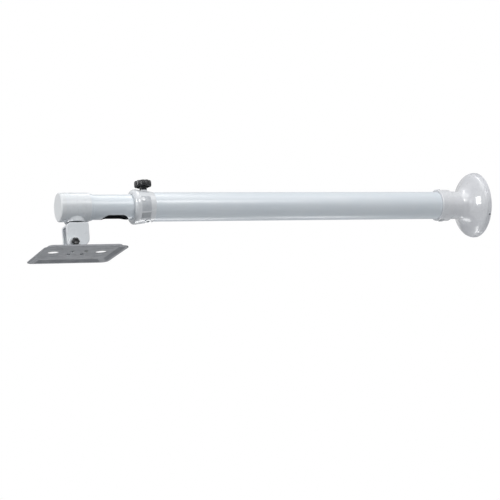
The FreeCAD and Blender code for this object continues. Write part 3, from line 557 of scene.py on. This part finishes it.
for name, edge in softEdges.items():
    piece = mergedCopy(name)
    bevelEdges(piece, edge["width"], edge["segments"], edge["angle"], miter_outer="MITER_ARC")
    replaceNode(piece, name, "_soft_edged")
print("edges softened")


# Thread on the end of the pan bolt, from inside its nut to its tip

panThread = {
    "boltRadius": 6.0 * mm,
    "startInNut": 2.4 * mm,
    "cutMargin": 0.01 * mm,
    "pitch": 1.75 * mm,
    "depth": 0.55 * mm,
    "crestTrim": 0.05 * mm,
    "tipChamfer": 0.9 * mm,
}


def modelPanBolt():
    low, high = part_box("pan_bolt")
    middle = (low + high) / 2
    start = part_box("pan_nut")[0].z + panThread["startInNut"]
    piece = mergedCopy("pan_bolt")
    startEditing(piece)
    bpy.ops.mesh.select_all(action="SELECT")
    bpy.ops.mesh.bisect(plane_co=(middle.x, 0, start), plane_no=(0, 0, -1), clear_outer=True, use_fill=True)

    def isCut(face):
        return face.normal.z < -endNormal and face.calc_center_median().z < start + panThread["cutMargin"]

    pickFaces(piece, isCut)
    radius = panThread["boltRadius"]
    pitch = panThread["pitch"]
    crest = radius - panThread["crestTrim"]
    root = radius - panThread["depth"]
    tip = low.z + panThread["tipChamfer"]
    rings = [(radius, start)]
    level = start - pitch
    while level > tip:
        rings += [(root, level + pitch / 2), (crest, level)]
        level -= pitch
    rings += [(crest, tip), (root, low.z)]
    pullThrough(rings, (middle.x, 0, 0))
    bpy.ops.object.mode_set(mode="OBJECT")
    replaceNode(piece, "pan_bolt", "_threaded", 20)


modelPanBolt()
print("pan bolt threaded")


# Floor, lights and camera

room = {
    "middleX": -0.65,
    "floorHeight": -1.25,
    "floorSize": 80.0,
    "floorColour": "c4c6c8",
    "floorPaleness": 0.68,
    "fillColour": "f1f5f9",
    "fillLevel": 0.245,
    "mirroredLevel": 0.5,
}

# The two lowest lamps give the bright lines along the underside; they face straight up and miss the floor.
lamps = {
    "overhead": {"place": (-0.7, -1.1, 2.3), "aim": (-0.65, 0, 0), "size": (3.4, 1.6), "power": 29},
    "strip": {"place": (-0.35, 0.12, 2.25), "aim": (-0.7, 0, 0), "size": (1.3, 0.2), "power": 7},
    "front": {"place": (-0.35, -3.1, 1.6), "aim": (-0.35, 0, 0), "size": (3.0, 1.2), "power": 31},
    "key": {"place": (0.05, -2.5, 1.45), "aim": (-0.35, 0, 0), "size": (0.5, 0.7), "power": 12},
    "left": {"place": (-2.6, -1.3, 0.6), "aim": (-1.3, 0, 0), "size": (0.4, 0.9), "power": 3},
    "end": {"place": (-2.75, -0.06, 0.45), "aim": (-1.35, 0, 0), "size": (0.26, 0.8), "power": 12.5},
    "low": {"place": (-0.85, 0.85, -1.1), "aim": (-0.85, 0.85, 0), "size": (1.2, 0.5), "power": 8},
    "spark": {"place": (0.05, 0.54, -1.1), "aim": (0.05, 0.54, 0), "size": (0.4, 0.12), "power": 2},
    "back": {"place": (-0.7, 3.2, 1.4), "aim": (-0.65, 0, 0), "size": (3.0, 1.4), "power": 14},
}
unmirroredLamps = ("back",)


def lookRotation(place, aim, roll=0.0):
    turn = (Vector(aim) - Vector(place)).to_track_quat("-Z", "Y")
    return (turn.to_matrix() @ Matrix.Rotation(roll, 3, "Z")).to_euler()


def makeFloor():
    deselectAll()
    bpy.ops.mesh.primitive_plane_add(
        size=room["floorSize"], location=(room["middleX"], 0, room["floorHeight"]))
    floor = bpy.context.object
    floor.name = "floor"
    material, tree, shader = startMaterial("pale_floor", Roughness=0.9, Specular_IOR_Level=0.0)[:3]
    # The camera and the shiny surfaces see it white; to all other light it is grey.
    path = addNode(tree, "LightPath", {}).outputs
    seen = addNode(tree, "Math", {0: path["Is Camera Ray"], 1: path["Is Glossy Ray"]}, operation="MAXIMUM")
    colour = mixColours(tree, seen.outputs[0], linear(room["floorColour"]), linear("ffffff"))
    tree.links.new(colour, shader.inputs["Base Color"])
    # The camera sees part of that as plain white, with the object's shadow still on it.
    share = addNode(tree, "Math", {0: path["Is Camera Ray"], 1: room["floorPaleness"]}, operation="MULTIPLY")
    white = addNode(tree, "Emission", {"Color": linear("ffffff"), "Strength": 1.0})
    seenFloor = addNode(tree, "MixShader", {0: share.outputs[0], 1: shader.outputs[0], 2: white.outputs[0]})
    tree.links.new(seenFloor.outputs[0], tree.nodes["Material Output"].inputs["Surface"])
    floor.data.materials.append(material)


# A dim cool room that the camera sees as white and that shiny surfaces mirror at mirroredLevel.
def makeWorld():
    world = bpy.data.worlds.new("soft_room")
    bpy.context.scene.world = world
    world.use_nodes = True
    tree = world.node_tree
    fill = tree.nodes["Background"]
    fill.inputs["Color"].default_value = linear(room["fillColour"])
    fill.inputs["Strength"].default_value = room["fillLevel"]
    white = addNode(tree, "Background", {"Color": linear("ffffff"), "Strength": 1.0})
    path = addNode(tree, "LightPath", {}).outputs
    rays = {0: path["Is Camera Ray"], 1: path["Is Transmission Ray"]}
    direct = addNode(tree, "Math", rays, operation="MAXIMUM")
    share = {0: path["Is Glossy Ray"], 1: room["mirroredLevel"]}
    mirrored = addNode(tree, "Math", share, operation="MULTIPLY")
    seen = addNode(tree, "Math", {0: direct.outputs[0], 1: mirrored.outputs[0]}, operation="MAXIMUM")
    mix = addNode(tree, "MixShader", {0: seen.outputs[0], 1: fill.outputs[0], 2: white.outputs[0]})
    tree.links.new(mix.outputs[0], tree.nodes["World Output"].inputs["Surface"])


def makeLamps():
    for name, lamp in lamps.items():
        light = bpy.data.lights.new(name, "AREA")
        light.shape = "RECTANGLE"
        light.size, light.size_y = lamp["size"]
        light.energy = lamp["power"]
        lampObject = bpy.data.objects.new(name, light)
        lampObject.location = lamp["place"]
        lampObject.rotation_euler = lookRotation(lamp["place"], lamp["aim"])
        lampObject.visible_camera = False
        lampObject.visible_glossy = name not in unmirroredLamps
        bpy.context.scene.collection.objects.link(lampObject)


# The photograph is taken from below and from the arm's free end, with the picture turned a little.
view = {
    "aim": (-0.7474, 0, -0.1249),
    "azimuth": -24.0,
    "elevation": -11.0,
    "roll": -5.9,
    "distance": 4.176,
    "lens": 108.0,
    "sensorWidth": 36.0,
    "clipEnd": 50.0,
}


def makeCamera():
    azimuth = math.radians(view["azimuth"])
    elevation = math.radians(view["elevation"])
    level = math.cos(elevation)
    back = Vector((math.sin(azimuth) * level, -math.cos(azimuth) * level, math.sin(elevation)))
    camera = bpy.data.cameras.new("camera")
    camera.lens = view["lens"]
    camera.sensor_width = view["sensorWidth"]
    camera.clip_end = view["clipEnd"]
    cameraObject = bpy.data.objects.new("camera", camera)
    cameraObject.location = Vector(view["aim"]) + back * view["distance"]
    cameraObject.rotation_euler = lookRotation(cameraObject.location, view["aim"], math.radians(view["roll"]))
    bpy.context.scene.collection.objects.link(cameraObject)
    bpy.context.scene.camera = cameraObject


makeFloor()
makeWorld()
makeLamps()
makeCamera()
bpy.context.scene.view_settings.view_transform = "Standard"
print("studio ready")
